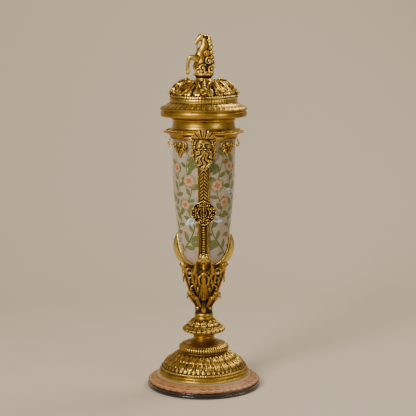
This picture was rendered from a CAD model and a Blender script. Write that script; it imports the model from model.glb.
# %% [markdown]
# # A covered standing cup of painted porcelain in gilt bronze mounts
#
# The cup is a tall porcelain beaker that stands in a calyx of gilt bronze leaves. Four winged figures
# carry the calyx on a leafy knop and foot, and a domed lid with a rearing horse closes the mouth.
# The plain solids come in as a frame, in metres, with +Z up and the front towards -Y. Every surface
# in this lesson is laid over one of them, so the first cell loads the frame and keeps its box.

# %% Load the frame
import functools
import math
import bpy
import numpy as np
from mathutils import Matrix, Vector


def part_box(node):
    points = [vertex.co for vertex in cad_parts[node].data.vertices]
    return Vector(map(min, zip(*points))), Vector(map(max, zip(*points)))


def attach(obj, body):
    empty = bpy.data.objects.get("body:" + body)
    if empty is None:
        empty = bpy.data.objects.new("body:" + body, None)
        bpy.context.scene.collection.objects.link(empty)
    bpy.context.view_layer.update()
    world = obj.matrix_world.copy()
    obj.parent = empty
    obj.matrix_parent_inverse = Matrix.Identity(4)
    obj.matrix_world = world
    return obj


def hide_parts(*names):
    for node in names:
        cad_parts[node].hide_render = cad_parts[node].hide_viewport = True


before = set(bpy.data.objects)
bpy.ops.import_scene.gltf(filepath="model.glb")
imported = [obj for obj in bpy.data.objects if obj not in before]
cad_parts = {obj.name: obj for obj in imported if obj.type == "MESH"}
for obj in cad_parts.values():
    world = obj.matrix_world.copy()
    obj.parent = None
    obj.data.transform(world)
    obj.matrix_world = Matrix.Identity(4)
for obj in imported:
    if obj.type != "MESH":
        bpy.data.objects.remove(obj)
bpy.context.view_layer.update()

# %% [markdown]
# ## Working in millimetres
#
# A chaser thinks in millimetres, so all sizes below are millimetres and are turned to metres only
# when a mesh is written. The height of each solid is read from the frame, so the ornament
# always sits on the piece that carries it.

# %% Levels of the solids
MM = 0.001


def levels(node):
    """Lowest and highest point of a solid, in millimetres."""
    low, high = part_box(node)
    return low.z / MM, high.z / MM


def reach(node):
    """Greatest distance of a solid from the axis along X, in millimetres."""
    low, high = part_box(node)
    return max(-low.x, high.x) / MM


plinth_low, plinth_top = levels("plinth")
plate_low, plate_top = levels("foot_plate")
foot_low, foot_top = levels("foot")
knop_low, knop_top = levels("knop")
stem_low, stem_top = levels("stem_of_winged_figures")
calyx_low, _ = levels("calyx")
beaker_low, beaker_top = levels("beaker")
collar_low, collar_top = levels("collar")
strap_low, mask_top = levels("mask_strap_front")
_, grape_top = levels("grape_mount_front_right")
lid_low, lid_top = levels("lid")
finial_low, finial_top = levels("finial")
print("beaker", round(beaker_low, 1), round(beaker_top, 1), "lid", round(lid_low, 1), round(lid_top, 1))

# %% [markdown]
# ## Skins from arrays
#
# Each piece is a stack of rings, an array of rows, columns and x, y, z. Four-sided faces join each ring
# to the next. The ends are either closed by a pole or joined to each other, as on a hollow ring. A
# signed volume tells whether the faces point outwards, and turns them if they don't.

# %% Helpers for skins
def ring_faces(rows, columns, joined=False):
    """Four-sided faces between neighbouring rings: corner = row times columns + column, the last column
    meeting the first, and the last row meeting the first where the ends are joined."""
    row, column = np.meshgrid(np.arange(rows if joined else rows - 1), np.arange(columns), indexing="ij")
    row, column = row.ravel(), column.ravel()
    above, beside = (row + 1) % rows, (column + 1) % columns
    corners = [(row, column), (row, beside), (above, beside), (above, column)]
    return np.stack([ring * columns + place for ring, place in corners], axis=1)


def pole_faces(ring_start, columns, pole, turned_over):
    """Triangles from each edge of a ring to one pole point."""
    column = np.arange(columns)
    edge = [ring_start + column, ring_start + (column + 1) % columns]
    if turned_over:
        edge.reverse()
    return np.stack([*edge, np.full(columns, pole)], axis=1)


def volume(points, quads, triangles):
    """Sum over the faces of a . (b x c) / 6, which is positive when the faces point outwards."""
    fans = np.vstack([quads[:, [0, 1, 2]], quads[:, [0, 2, 3]], triangles])
    a, b, c = (points[fans[:, i]] for i in range(3))
    return np.einsum("ij,ij->i", a, np.cross(b, c)).sum() / 6


def skin(rings, joined=False):
    """Points, quads and triangles of a closed skin over rings of shape (rows, columns, 3)."""
    rows, columns, _ = rings.shape
    points = rings.reshape(-1, 3)
    quads, triangles = ring_faces(rows, columns, joined), np.zeros((0, 3), int)
    if not joined:
        count = rows * columns
        points = np.vstack([points, rings[[0, -1]].mean(axis=1)])
        low = pole_faces(0, columns, count, True)
        triangles = np.vstack([low, pole_faces(count - columns, columns, count + 1, False)])
    if volume(points, quads, triangles) < 0:
        quads, triangles = quads[:, ::-1], triangles[:, ::-1]
    return points, quads, triangles


def together(skins):
    """Several closed skins as one set of points and faces."""
    counts = np.cumsum([0] + [len(points) for points, _, _ in skins])
    points = np.vstack([points for points, _, _ in skins])
    quads = np.vstack([quads + start for (_, quads, _), start in zip(skins, counts)])
    triangles = np.vstack([triangles + start for (_, _, triangles), start in zip(skins, counts)])
    return points, quads, triangles


def write_mesh(name, points, quads, triangles):
    """A smooth-shaded mesh from arrays, its points turned from millimetres to metres."""
    mesh = bpy.data.meshes.new(name)
    corners = np.concatenate([quads.ravel(), triangles.ravel()]).astype(np.int32)
    sizes = np.repeat([4, 3], [len(quads), len(triangles)])
    starts = (np.cumsum(sizes) - sizes).astype(np.int32)
    mesh.vertices.add(len(points))
    mesh.vertices.foreach_set("co", (points * MM).astype(np.float32).ravel())
    mesh.loops.add(len(corners))
    mesh.loops.foreach_set("vertex_index", corners)
    mesh.polygons.add(len(starts))
    mesh.polygons.foreach_set("loop_start", starts)
    mesh.polygons.foreach_set("use_smooth", np.ones(len(starts), bool))
    mesh.update(calc_edges=True)
    return mesh


# %% [markdown]
# ## Depth of the chasing
#
# Gilding wears off the ridges of a casting and dirt settles in its hollows. The eye reads relief by
# that contrast more than by its shadows. So each piece gets a number at every point that says how far
# it lies below the mean of its surroundings, found by smoothing the mesh along its edges and
# measuring back along the normal. The gilding reads it later as the attribute "hollow".

# %% Measure hollows
HOLLOW_DEPTH = 0.55


def neighbours(mesh):
    """The two ends of every edge."""
    ends = np.zeros(len(mesh.edges) * 2, np.int32)
    mesh.edges.foreach_get("vertices", ends)
    return ends.reshape(-1, 2)


def smoothed(values, ends, rounds, share=0.7):
    """values moved by a share towards the mean of their neighbours, some rounds over."""
    count = len(values)
    links = np.bincount(ends.ravel(), minlength=count).clip(1)[:, None]
    both = np.concatenate([ends[:, 0], ends[:, 1]])
    other = np.concatenate([ends[:, 1], ends[:, 0]])
    for _ in range(rounds):
        sums = [np.bincount(both, values[other, axis], count) for axis in range(values.shape[1])]
        values = values + share * (np.stack(sums, axis=1) / links - values)
    return values


def add_field(mesh, name, values):
    """One number per point, as a named attribute."""
    field = mesh.attributes.new(name, "FLOAT", "POINT")
    field.data.foreach_set("value", values.astype(np.float32).ravel())


def depth_below(mesh, rounds=(5, 28)):
    """Distance in mm below the smoothed surface along the normal, at a fine and at a coarse scale."""
    count = len(mesh.vertices)
    places, normals = np.zeros(count * 3), np.zeros(count * 3)
    mesh.vertices.foreach_get("co", places)
    mesh.vertices.foreach_get("normal", normals)
    places, normals = places.reshape(-1, 3) / MM, normals.reshape(-1, 3)
    ends = neighbours(mesh)
    fine = smoothed(places, ends, rounds[0])
    coarse = smoothed(fine, ends, rounds[1])
    below = np.einsum("ij,ij->i", (fine - places) * 1.6 + (coarse - places), normals)
    return smoothed(below[:, None], ends, 1)[:, 0]


def mark_hollows(mesh, plain, burnish, depth, age):
    """hollow = age + (1 - age / 2) times the depth of the chased form, less a burnished share of the plain
    form's depth, over the depth that counts as fully hollow, held between -1 and 1."""
    below = depth_below(mesh) - burnish * depth_below(plain)
    add_field(mesh, "hollow", age + (1 - age / 2) * np.clip(below / depth, -1, 1))


# %% [markdown]
# ## Colours and shader nodes
#
# Colours are read off like a painter's chart, as sRGB hex values, and one function turns them to the
# linear values that light is counted in. One function adds a node with its settings and its links.

# %% Helpers for materials
def linear(hexcode):
    """sRGB hex to linear red, green, blue and alpha 1."""
    parts = [int(hexcode[i:i + 2], 16) / 255 for i in (0, 2, 4)]
    return [part / 12.92 if part <= 0.04045 else ((part + 0.055) / 1.055) ** 2.4 for part in parts] + [1]


def add_node(tree, kind, output=None, inputs=(), stops=(), **settings):
    """A node of a kind with its settings. Inputs come by name or number, or as a list in their order, and
    each is a link, a number or a hex colour. A map range's list is the value, the span it comes from and
    the span it goes to. stops are the places and colours of a ramp. It gives back the output asked for."""
    made = tree.nodes.new("ShaderNode" + kind)
    for key, value in settings.items():
        setattr(made, key, value)
    for key, value in inputs.items() if isinstance(inputs, dict) else enumerate(inputs):
        if isinstance(value, bpy.types.NodeSocket):
            tree.links.new(value, made.inputs[key])
        else:
            made.inputs[key].default_value = linear(value) if isinstance(value, str) else value
    for number, (place, colour) in enumerate(stops):
        if number > 1:
            made.color_ramp.elements.new(place)
        made.color_ramp.elements[number].position = place
        made.color_ramp.elements[number].color = linear(colour)
    return made.outputs[output] if output is not None else made


def new_material(name):
    """An empty material, and the function that adds a node to its tree."""
    material = bpy.data.materials.new(name)
    material.use_nodes = True
    material.node_tree.nodes.clear()
    return material, functools.partial(add_node, material.node_tree)


# %% [markdown]
# ## Fire-gilt bronze
#
# The mounts are bronze, cast, chased with punches and coated with gold by the fire-gilding way, then
# burnished on the high parts. That gives a deep yellow metal, bright and smooth on ridges, matt and
# brown where old wax and dirt lie in the ground. The attribute "hollow" moves colour and roughness
# between the two states. Metallic is one, and falls only where the dirt lies thick.

# %% Gilt bronze
GOLD_STOPS = [
    (0.0, "E8CB70"), (0.3, "CBA748"), (0.5, "B6903A"), (0.63, "7E6026"), (0.8, "3E2C11"), (1.0, "1A1006"),
]


def make_gilt_bronze():
    """Colour and roughness from hollow, broken up by a cloudy wear of about 12 mm and by fine specks."""
    material, add = new_material("fire_gilt_bronze")
    place = add("TexCoord", "Object")
    hollow = add("Attribute", "Fac", attribute_name="hollow")
    cloud = add("TexNoise", "Fac", {"Vector": place, "Scale": 85.0, "Detail": 4.0})
    speck = add("TexNoise", "Fac", {"Vector": place, "Scale": 900.0, "Detail": 2.0})
    wear = add("Math", "Value", [cloud, 0.9, hollow], operation="MULTIPLY_ADD")
    grain = add("Math", "Value", [speck, 0.6, wear], operation="MULTIPLY_ADD")
    depth = add("MapRange", "Result", [grain, -0.25, 1.75])
    colour = add("ValToRGB", "Color", [depth], GOLD_STOPS)
    roughness = add("MapRange", "Result", [depth, 0.45, 0.8, 0.29, 0.66])
    metallic = add("MapRange", "Result", [depth, 0.65, 1.0, 1.0, 0.5])
    surface = {"Base Color": colour, "Roughness": roughness, "Metallic": metallic}
    shader = add("BsdfPrincipled", "BSDF", surface)
    add("OutputMaterial", None, [shader])
    return material


gilt_bronze = make_gilt_bronze()
print("made", gilt_bronze.name)


# %% [markdown]
# ## Putting a piece in place
#
# A finished surface takes its material and slot, rides on the only body and stands for its solid.

# %% Helper to finish a piece
def finish_piece(name, mesh, material, replaced=()):
    """An object at the origin for a mesh, with its material, body, slot and the solids it stands for."""
    mesh.materials.append(material)
    piece = bpy.data.objects.new(name, mesh)
    bpy.context.scene.collection.objects.link(piece)
    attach(piece, "root")
    if replaced:
        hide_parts(*replaced)
    print(name, len(mesh.polygons), "faces")


def gilt_piece(name, shape, replaced=(), plain=None, burnish=0.0, depth=HOLLOW_DEPTH, age=0.0):
    """A gilt bronze piece from points and faces. plain is the same form before it was chased, and age
    is how much brown patina lies on all of it."""
    mesh = write_mesh(name, *shape)
    before = write_mesh(name + "_plain", *(plain or shape))
    mark_hollows(mesh, before, burnish, depth, age)
    bpy.data.meshes.remove(before)
    finish_piece(name, mesh, gilt_bronze, replaced)


# %% [markdown]
# ## Turned work
#
# Foot, knop, collar and lid were turned before they were chased. A turner draws mouldings: straight
# runs, swelling beads and hollow coves. A profile is therefore a list of radius, height and bulge,
# where the bulge is how far the run up to that point swells out. The relief is then a function of
# the angle and the height, and pushes the surface out along the profile's normal.

# %% Helpers for turned work
def ridge(distance, half_width=1.0):
    """A half round bar seen from its end: sqrt(1 - (distance / half width)^2)."""
    return np.sqrt(np.clip(1 - (distance / half_width) ** 2, 0, 1))


def swell(value, centre, width):
    """A soft swelling: e to the power of -((value - centre) / width)^2."""
    return np.exp(-(((value - centre) / width) ** 2))


def moulding(steps, spacing):
    """A fine profile through [radius, height, bulge] steps: each run is a straight line plus
    bulge times 4t(1 - t) along its own normal."""
    runs = []
    for (r0, z0, _), (r1, z1, bulge) in zip(steps, steps[1:]):
        out, up = r1 - r0, z1 - z0
        length = math.hypot(out, up)
        parts = 1 if z0 == z1 or r0 == r1 and bulge == 0 else max(2, round(length / spacing))
        t = np.linspace(0, 1, parts + 1)[:-1]
        swelling = bulge * 4 * t * (1 - t) / max(length, 1e-6)
        runs.append(np.stack([r0 + out * t + swelling * up, z0 + up * t - swelling * out], axis=1))
    return np.vstack([*runs, [steps[-1][:2]]])


def angles(columns):
    """Azimuths of the columns, 0 at the front and rising towards +X."""
    return np.arange(columns) / columns * 2 * np.pi


def round_axis(radius, azimuth, height):
    """Points at a radius and azimuth: x = r sin, y = -r cos, z."""
    radius, azimuth, height = np.broadcast_arrays(radius, azimuth, height)
    return np.stack([radius * np.sin(azimuth), -radius * np.cos(azimuth), height], axis=-1)


def profile_normals(profile):
    """Unit normals of a profile, to the right of its direction of travel."""
    along = np.gradient(profile, axis=0)
    length = np.hypot(along[:, 0], along[:, 1]).clip(1e-9)
    return np.stack([along[:, 1], -along[:, 0]], axis=1) / length[:, None]


def turned(steps, columns, spacing, relief=None, low=0.0, joined=False):
    """A turned skin, its steps raised to a level. relief(azimuth, radius, height above that level) is the
    push along the profile's normal."""
    profile = moulding([(radius, low + height, bulge) for radius, height, bulge in steps], spacing)
    if joined:
        profile = profile[:-1]
    elif profile[0, 0] < 1e-6:
        profile = profile[1:-1]
    azimuth = angles(columns)[None, :]
    radius, height = profile[:, :1], profile[:, 1:]
    if relief is not None:
        push = relief(azimuth, radius, height - low)
        normal = profile_normals(profile)
        radius, height = radius + push * normal[:, :1], height + push * normal[:, 1:]
    return skin(round_axis(radius, azimuth, height), joined)


def gilt_turned(name, node, steps, columns, spacing, relief, low, *wear):
    """Turned, chased work. Its hollows are measured against the same form before it was chased."""
    plain = turned(steps, columns, spacing, None, low)
    gilt_piece(name, turned(steps, columns, spacing, relief, low), [node], plain, *wear)


def round_the_cup(shape, degrees):
    """The same shape turned round the axis."""
    points, quads, triangles = shape
    turn = math.radians(degrees)
    matrix = np.array([[math.cos(turn), -math.sin(turn), 0], [math.sin(turn), math.cos(turn), 0], [0, 0, 1]])
    return points @ matrix.T, quads, triangles


def rise(value, low, high):
    """Smooth step from 0 at low to 1 at high: 3t^2 - 2t^3."""
    t = np.clip((value - low) / (high - low), 0, 1)
    return t * t * (3 - 2 * t)


def window(value, low, high, soft):
    """1 between low and high, fading over a soft edge."""
    return rise(value, low - soft, low + soft) * (1 - rise(value, high - soft, high + soft))


def across_pitch(azimuth, count, shift=0.0):
    """Place across a repeated ornament, -1 to 1 from one boundary to the next."""
    return ((azimuth * count / (2 * np.pi) + shift + 0.5) % 1.0) * 2 - 1


def bead_row(azimuth, height, count, level, size, shift=0.0):
    """Half balls in a row: sqrt(1 - u^2 - v^2) for u across the bead and v up it."""
    u = across_pitch(azimuth, count, shift)
    v = (height - level) / (size / 2)
    return size / 2 * ridge(np.hypot(u, v))


def leaf(u, t, lobes=4, lean=0.16):
    """Acanthus leaf, height 0 to 1. u is -1 to 1 across, t is 0 at the root and 1 at the tip.
    Its half width follows a leaf outline with lobes cut in, its face is crowned with a sunk
    midrib, and a ridge runs out to each lobe."""
    outline = np.sin(np.pi * np.clip(0.16 + 0.84 * t, 0, 1)) ** 0.6
    lobed = outline * (1 - 0.2 * np.abs(np.sin(np.pi * lobes * (t + lean * np.abs(u)))) ** 2)
    inside = lobed - np.abs(u)
    face = rise(inside, 0.0, 0.22)
    veins = 0.16 * np.cos(2 * np.pi * lobes * (t - 0.35 * np.abs(u)))
    return face * (0.72 + veins * np.abs(u) - 0.3 * swell(u, 0, 0.09) + 0.2 * ridge(u))


def leaf_tier(azimuth, height, count, low, tall, push, lobes, soft, shift=0.0):
    """A ring of leaves that stand on a level: push times the leaf, faded at its root and tip."""
    t = (height - low) / tall
    return push * leaf(across_pitch(azimuth, count, shift), t, lobes) * window(t, 0.0, 1.0, soft)


# %% [markdown]
# ## The black plinth
#
# The cup stands on a round wooden plinth, ebonised and lacquered to a mirror. It is two bands with a
# step between them, turned on a lathe, so it is one profile with no relief. A clear coat over a
# nearly black wood gives the sharp pale line of the window along its edge.

# %% Plinth
def make_black_lacquer():
    """Dark brown-black under a smooth clear coat, dulled here and there by handling."""
    material, add = new_material("black_lacquered_wood")
    place = add("TexCoord", "Object")
    wipe = add("TexNoise", "Fac", {"Vector": place, "Scale": 30.0, "Detail": 5.0})
    roughness = add("MapRange", "Result", [wipe, 0.3, 0.7, 0.14, 0.3])
    surface = {"Base Color": "14100E", "Roughness": roughness, "Coat Weight": 0.6, "Coat Roughness": 0.08}
    shader = add("BsdfPrincipled", "BSDF", surface)
    add("OutputMaterial", None, [shader])
    return material


def make_plinth():
    """Foot rounding, lower band, a small step and the upper band."""
    radius, top = reach("plinth"), plinth_top - plinth_low
    middle = 0.52 * top
    steps = [
        (0, 0, 0), (radius - 2.4, 0, 0), (radius - 0.4, 1.6, 0.5), (radius, middle - 1.0, 0.1),
        (radius - 0.6, middle - 0.3, 0.1), (radius - 1.4, middle, 0), (radius - 1.2, middle + 0.5, 0),
        (radius - 1.2, top - 0.7, 0.15), (radius - 1.9, top, 0.2), (0, top, 0),
    ]
    mesh = write_mesh("plinth_lacquered", *turned(steps, 256, 4.0, low=plinth_low))
    finish_piece("plinth_lacquered", mesh, make_black_lacquer(), ["plinth"])


make_plinth()

# %% [markdown]
# ## The scalloped foot plate
#
# Under the bronze foot lies a porcelain plate with a border of small rounded scallops. It is painted
# terracotta, with a pale line along the scallops and a grey-green ring next to the foot. The scallops
# are cut from the turned form by drawing in the radius with 1 - sqrt(1 - u^2), a half circle for each
# lobe. The paint follows the radius, moved a little at each cusp, which is kept as an attribute.

# %% Foot plate
SCALLOPS = 44
SCALLOP_DEPTH = 2.2
BORDER_SPAN = (78, 99)
BORDER_WANDER = 1.2
BORDER_STOPS = [
    (0.0, "8E8B74"), (0.2, "A39F8A"), (0.24, "6F6650"), (0.28, "8F5A28"), (0.66, "9A652E"),
    (0.78, "6C3D18"), (0.84, "C4A878"), (0.9, "9A5B30"),
]


def make_border_glaze():
    """Painted bands under a clear glaze. A ramp over the radius holds the bands, and a cloud and fine
    grime break them up."""
    material, add = new_material("painted_border_porcelain")
    place = add("TexCoord", "Object")
    cloud = add("TexNoise", "Fac", {"Vector": place, "Scale": 90.0, "Detail": 6.0})
    grime = add("TexNoise", "Fac", {"Vector": place, "Scale": 320.0, "Detail": 3.0})
    border = add("Attribute", "Fac", attribute_name="border")
    wander = add("Math", "Value", [cloud, BORDER_WANDER, border], operation="MULTIPLY_ADD")
    share = add("MapRange", "Result", [wander, *(edge + BORDER_WANDER / 2 for edge in BORDER_SPAN)])
    bands = add("ValToRGB", "Color", [share], BORDER_STOPS)
    cloudy = add("MapRange", "Result", [cloud, 0.45, 0.7, 0.0, 0.35])
    softened = add("Mix", 2, {0: cloudy, 6: bands, 7: "C79B72"}, data_type="RGBA")
    dirt = add("MapRange", "Result", [grime, 0.62, 0.74, 0.0, 0.5])
    colour = add("Mix", 2, {0: dirt, 6: softened, 7: "5A4030"}, data_type="RGBA")
    shader = add("BsdfPrincipled", "BSDF", {"Base Color": colour, "Roughness": 0.45})
    add("OutputMaterial", None, [shader])
    return material


def make_foot_plate():
    """A sloping plate, its rim drawn into scallops and its slope fluted to match them."""
    rim, land, top = reach("foot_plate"), reach("foot") + 1, plate_top - plate_low
    steps = [
        (0, 0, 0), (rim - 1.2, 0, 0), (rim - 0.1, 1.0, 0.3), (rim, 2.4, 0.15), (rim - 1.2, 3.2, 0.3),
        (land + 4, top - 1.4, 0.5), (land, top, 0.1), (0, top, 0),
    ]
    profile = moulding(steps, 1.0)[1:-1]
    azimuth = angles(SCALLOPS * 14)[None, :]
    radius, height = profile[:, :1], profile[:, 1:]
    cusp = 1 - ridge(across_pitch(azimuth, SCALLOPS))
    edge = rise(radius, land + 6, rim)
    scalloped = radius - SCALLOP_DEPTH * cusp * edge
    sunk = plate_low + height - 0.7 * cusp * edge * (height > 2.5)
    mesh = write_mesh("foot_plate_painted", *skin(round_axis(scalloped, azimuth, sunk)))
    lobe = np.broadcast_to(radius + 3.0 * cusp * edge, scalloped.shape).ravel()
    add_field(mesh, "border", np.concatenate([lobe, [0, 0]]))
    finish_piece("foot_plate_painted", mesh, make_border_glaze(), ["foot_plate"])


make_foot_plate()

# %% [markdown]
# ## The leafy foot
#
# The foot is one casting: a stepped ring, two tiers of acanthus leaves on a low dome, a gadrooned
# ring and a smooth spool that was left bright. Leaves and gadroons are functions of the angle, so a
# whole tier costs no more to write than one leaf. Each leaf's tip droops, which is a
# second, narrow swelling near the end of the leaf, and fine flutes fan out over the ground between.

# %% Foot
FOOT_LEAVES = 26
FOOT_GADROONS = 60
FOOT_BEADS = 112
FOOT_OUTLINE = [
    (0.6, 0, 0), (0, 1.0, 0.2), (0.1, 3.0, 0.15), (1.4, 4.0, 0.3), (1.7, 4.6, 0), (2.4, 9.0, 1.1),
    (3.6, 9.7, 0), (4.4, 11.0, -0.3), (5.2, 14.0, 0.1), (7.8, 15.2, 0), (16.6, 25.2, 1.4),
    (22.8, 28.0, 0.2), (30.6, 34.4, 1.1), (36.6, 39.2, 0.6), (39.4, 41.2, -0.4), (39.4, 43.0, 0),
    (37.0, 45.2, 0.3), (36.6, 48.0, 0.5), (39.4, 51.6, 0.6), (47.4, 56.4, 0.5), (49.4, 57.0, 0),
    (57.4, 60.4, -0.8), (59.6, 61.4, 0), (60.6, 62.6, 0.5), (61.8, 63.2, 0),
]


def foot_relief(azimuth, radius, height):
    """Beads, lower leaves, upper leaves with drooping tips, and gadroons, each in its own band of height."""
    beads = bead_row(azimuth, height, FOOT_BEADS, 12.6, 2.4)
    lower = leaf_tier(azimuth, height, 2 * FOOT_LEAVES, 15.0, 10.4, 0.9, 2, 0.03)
    upper = leaf_tier(azimuth, height, FOOT_LEAVES, 20.0, 18.4, 1.6, 5, 0.03, 0.5)
    behind = leaf_tier(azimuth, height, FOOT_LEAVES, 26.0, 14.0, 1.0, 4, 0.03)
    tips = 0.5 * swell(across_pitch(azimuth, 2 * FOOT_LEAVES), 0, 0.35) * swell(height, 24.15, 1.25)
    tips = tips + 0.9 * swell(across_pitch(azimuth, FOOT_LEAVES, 0.5), 0, 0.26) * swell(height, 34.72, 2.21)
    flutes = 0.3 * np.cos(azimuth * 4 * FOOT_LEAVES) * window(height, 16, 40, 1.0)
    gadroons = (1.5 * ridge(across_pitch(azimuth, FOOT_GADROONS)) - 0.8) * window(height, 44.4, 54.0, 0.7)
    return beads + np.maximum.reduce([upper, behind, lower]) + tips + flutes + gadroons


def make_foot():
    """Base ring, torus, bead ledge, leaf dome, waist, gadroon ring and spool, from the plate up."""
    base, top = reach("foot"), foot_top - foot_low
    steps = [(base - inward, up, bulge) for inward, up, bulge in FOOT_OUTLINE]
    steps = [(0, 0, 0), *steps, (steps[-1][0], top, 0), (0, top, 0)]
    gilt_turned("foot_chased", "foot", steps, 480, 1.0, foot_relief, foot_low, 0.96, 1.0, 0.14)


make_foot()

# %% [markdown]
# ## The knop
#
# The knop is the small collared dome that a hand would close round. A scalloped flange of leaves has
# a row of drilled holes under it, and more leaves climb the cone above. The holes are dark because the
# relief goes inwards there, which the hollow measure then picks up.

# %% Knop
KNOP_LEAVES = 26


def knop_relief(azimuth, radius, height):
    """Drilled row, flange leaves with cusps between them, and cone leaves."""
    drilled = -1.5 * swell(across_pitch(azimuth, 30), 0, 0.55) * swell(height, 9.2, 0.9)
    u = across_pitch(azimuth, KNOP_LEAVES)
    flange = (1.6 * ridge(u) - 1.0 + 0.35 * np.cos(3 * np.pi * u)) * window(height, 11.0, 21.6, 0.9)
    return drilled + flange + leaf_tier(azimuth, height, KNOP_LEAVES // 2, 22.6, 9.4, 1.5, 3, 0.04)


def make_knop():
    """Ring, cove, flange, cone and neck ring."""
    top = knop_top - knop_low
    steps = [
        (0, 0, 0), (17.6, 0, 0), (18.4, 1.4, 0.3), (17.9, 2.2, 0), (18.0, 2.8, 0), (18.2, 7.2, 2.0),
        (19.0, 7.8, 0), (27.0, 9.4, -0.7), (34.8, 12.0, -0.8), (37.2, 14.2, 0.3), (36.6, 16.4, 0.5),
        (31.0, 21.2, -0.5), (28.4, 22.2, 0), (24.2, 26.2, 0.7), (18.4, 31.6, 1.2), (16.8, 32.6, 0),
        (16.8, 33.2, 0), (16.9, 36.2, 0.9), (16.4, 36.8, 0), (16.4, top, 0), (0, top, 0),
    ]
    gilt_turned("knop_chased", "knop", steps, 364, 1.0, knop_relief, knop_low, 0.96, 1.0, 0.14)


make_knop()

# %% [markdown]
# ## The collar
#
# The collar hides the joint between porcelain and lid. Its neck was burnished smooth, and a row of
# cast beads lies on its flange. Each bead is a small ball of its own: a ball is two
# parameters, longitude and latitude, so one array holds a ball. Beside each mask a plain bar lies on
# the fascia and carries the volutes below it.

# %% Collar
def balls(centres, radii, columns=9, rows=7):
    """Balls: centre + radius (cos latitude cos longitude, cos latitude sin longitude, sin latitude)."""
    latitude = np.linspace(-np.pi / 2, np.pi / 2, rows + 2)[1:-1, None]
    longitude = angles(columns)[None, :]
    unit = np.stack(
        [
            np.cos(latitude) * np.cos(longitude), np.cos(latitude) * np.sin(longitude),
            np.sin(latitude) + 0 * longitude,
        ],
        axis=-1,
    )
    sizes = np.broadcast_to(np.atleast_2d(np.asarray(radii, float).T).T, (len(centres), 3))
    return [skin(np.asarray(centre) + unit * size) for centre, size in zip(centres, sizes)]


COLLAR_BEADS = 118
COLLAR_NECK = 53.5
FLANGE_RISE = 12.1
BAR_LEVEL = 4.8
BAR_SPAN = (14, 37)
FASCIA_RADIUS = 59.8
FLANGE_RADIUS = 70.2


def fascia_bar(mirrored):
    """A round bar from the mask's side to the volute, bent to the collar, its two ends rounded off."""
    turn = np.radians(np.linspace(*BAR_SPAN, 24))[:, None] * (-1 if mirrored else 1)
    bar = np.sqrt(np.clip(1 - np.linspace(-1, 1, 24)[:, None] ** 10, 0.04, 1))
    across = angles(10)[None, :]
    level = collar_low + BAR_LEVEL + 2.0 * bar * np.sin(across)
    return skin(round_axis(FASCIA_RADIUS + 2.3 * bar * np.cos(across), turn, level))


def make_collar():
    """Fascia, cove, flange and neck outside, the seat of the beaker's neck and the lid's bore inside."""
    top, rim, seat = collar_top - collar_low, FLANGE_RISE, beaker_top - collar_low
    steps = [
        (55.5, 0, 0), (57.4, 0, 0), (58.4, 0.8, 0.2), (58.0, 1.8, 0.1), (58.0, 4.4, 0), (59.2, 5.2, 0.2),
        (59.4, 7.0, 0.2), (60.4, 7.6, 0), (65.4, rim - 2.2, -1.2), (68.0, rim - 1.5, 0),
        (69.8, rim - 0.9, 0.3), (69.8, rim + 0.7, 0.25), (68.0, rim + 1.4, 0.2), (60.6, rim + 2.6, 0),
        (58.0, rim + 3.4, -0.3), (57.4, rim + 4.6, 0.3), (55.8, rim + 5.8, 0), (54.2, rim + 11.0, -0.5),
        (COLLAR_NECK, top - 4.6, -0.2), (54.4, top - 3.4, 0), (55.0, top - 1.0, 0.6), (54.0, top, 0.1),
        (47, top, 0), (47, seat + 0.3, 0), (50.7, seat + 0.3, 0), (50.7, seat - 23, 0),
        (55.5, seat - 27.8, 0), (55.5, 0, 0),
    ]
    centres = round_axis(63.4, angles(COLLAR_BEADS), collar_low + rim + 2.4)
    bars = [round_the_cup(fascia_bar(side), degrees) for side in (False, True) for degrees in (0, 180)]
    ring = turned(steps, 300, 1.2, low=collar_low, joined=True)
    shape = together([ring, *balls(centres, 1.5, 10, 6), *bars])
    gilt_piece("collar_beaded", shape, ["collar"], burnish=0.94)


make_collar()

# %% [markdown]
# ## The lid and its dome
#
# The lid is a hollow shell. A broad band was burnished like a mirror, a cornice with low leaves slopes
# up to a drum, and the dome above is chased all over with acanthus. The beasts and scrolls that stand
# off it are modelled later, as sculpture.

# %% Lid shell
LID_LEAVES = 48
DOME_LEAVES = 16
DRUM_BEADS = 72


def lid_relief(azimuth, radius, height):
    """Leaves on the cornice, tongues on the drum, a bead row, and two tiers of leaves on the dome."""
    outside = (height > 19.6) & (radius + 0 * azimuth > 15)
    t = (height - 23.8) / 8.2
    darts = 0.8 * swell(across_pitch(azimuth, LID_LEAVES, 0.5), 0, 0.16) * window(t, 0.1, 0.95, 0.05)
    cornice = 0.9 * leaf(across_pitch(azimuth, LID_LEAVES), 1 - t, 3) * window(t, 0.0, 1.0, 0.05)
    tongues = (0.8 * ridge(across_pitch(azimuth, DRUM_BEADS)) - 0.35) * window(height, 35.0, 38.6, 0.4)
    beads = bead_row(azimuth, height, DRUM_BEADS, 43.8, 2.8)
    lower = leaf_tier(azimuth, height, DOME_LEAVES, 46.4, 14.0, 2.0, 4, 0.04, 0.5)
    upper = leaf_tier(azimuth, height, DOME_LEAVES / 2, 58.0, 9.4, 1.3, 3, 0.05)
    return np.where(outside, cornice + darts + tongues + beads + lower + upper, 0)


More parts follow.
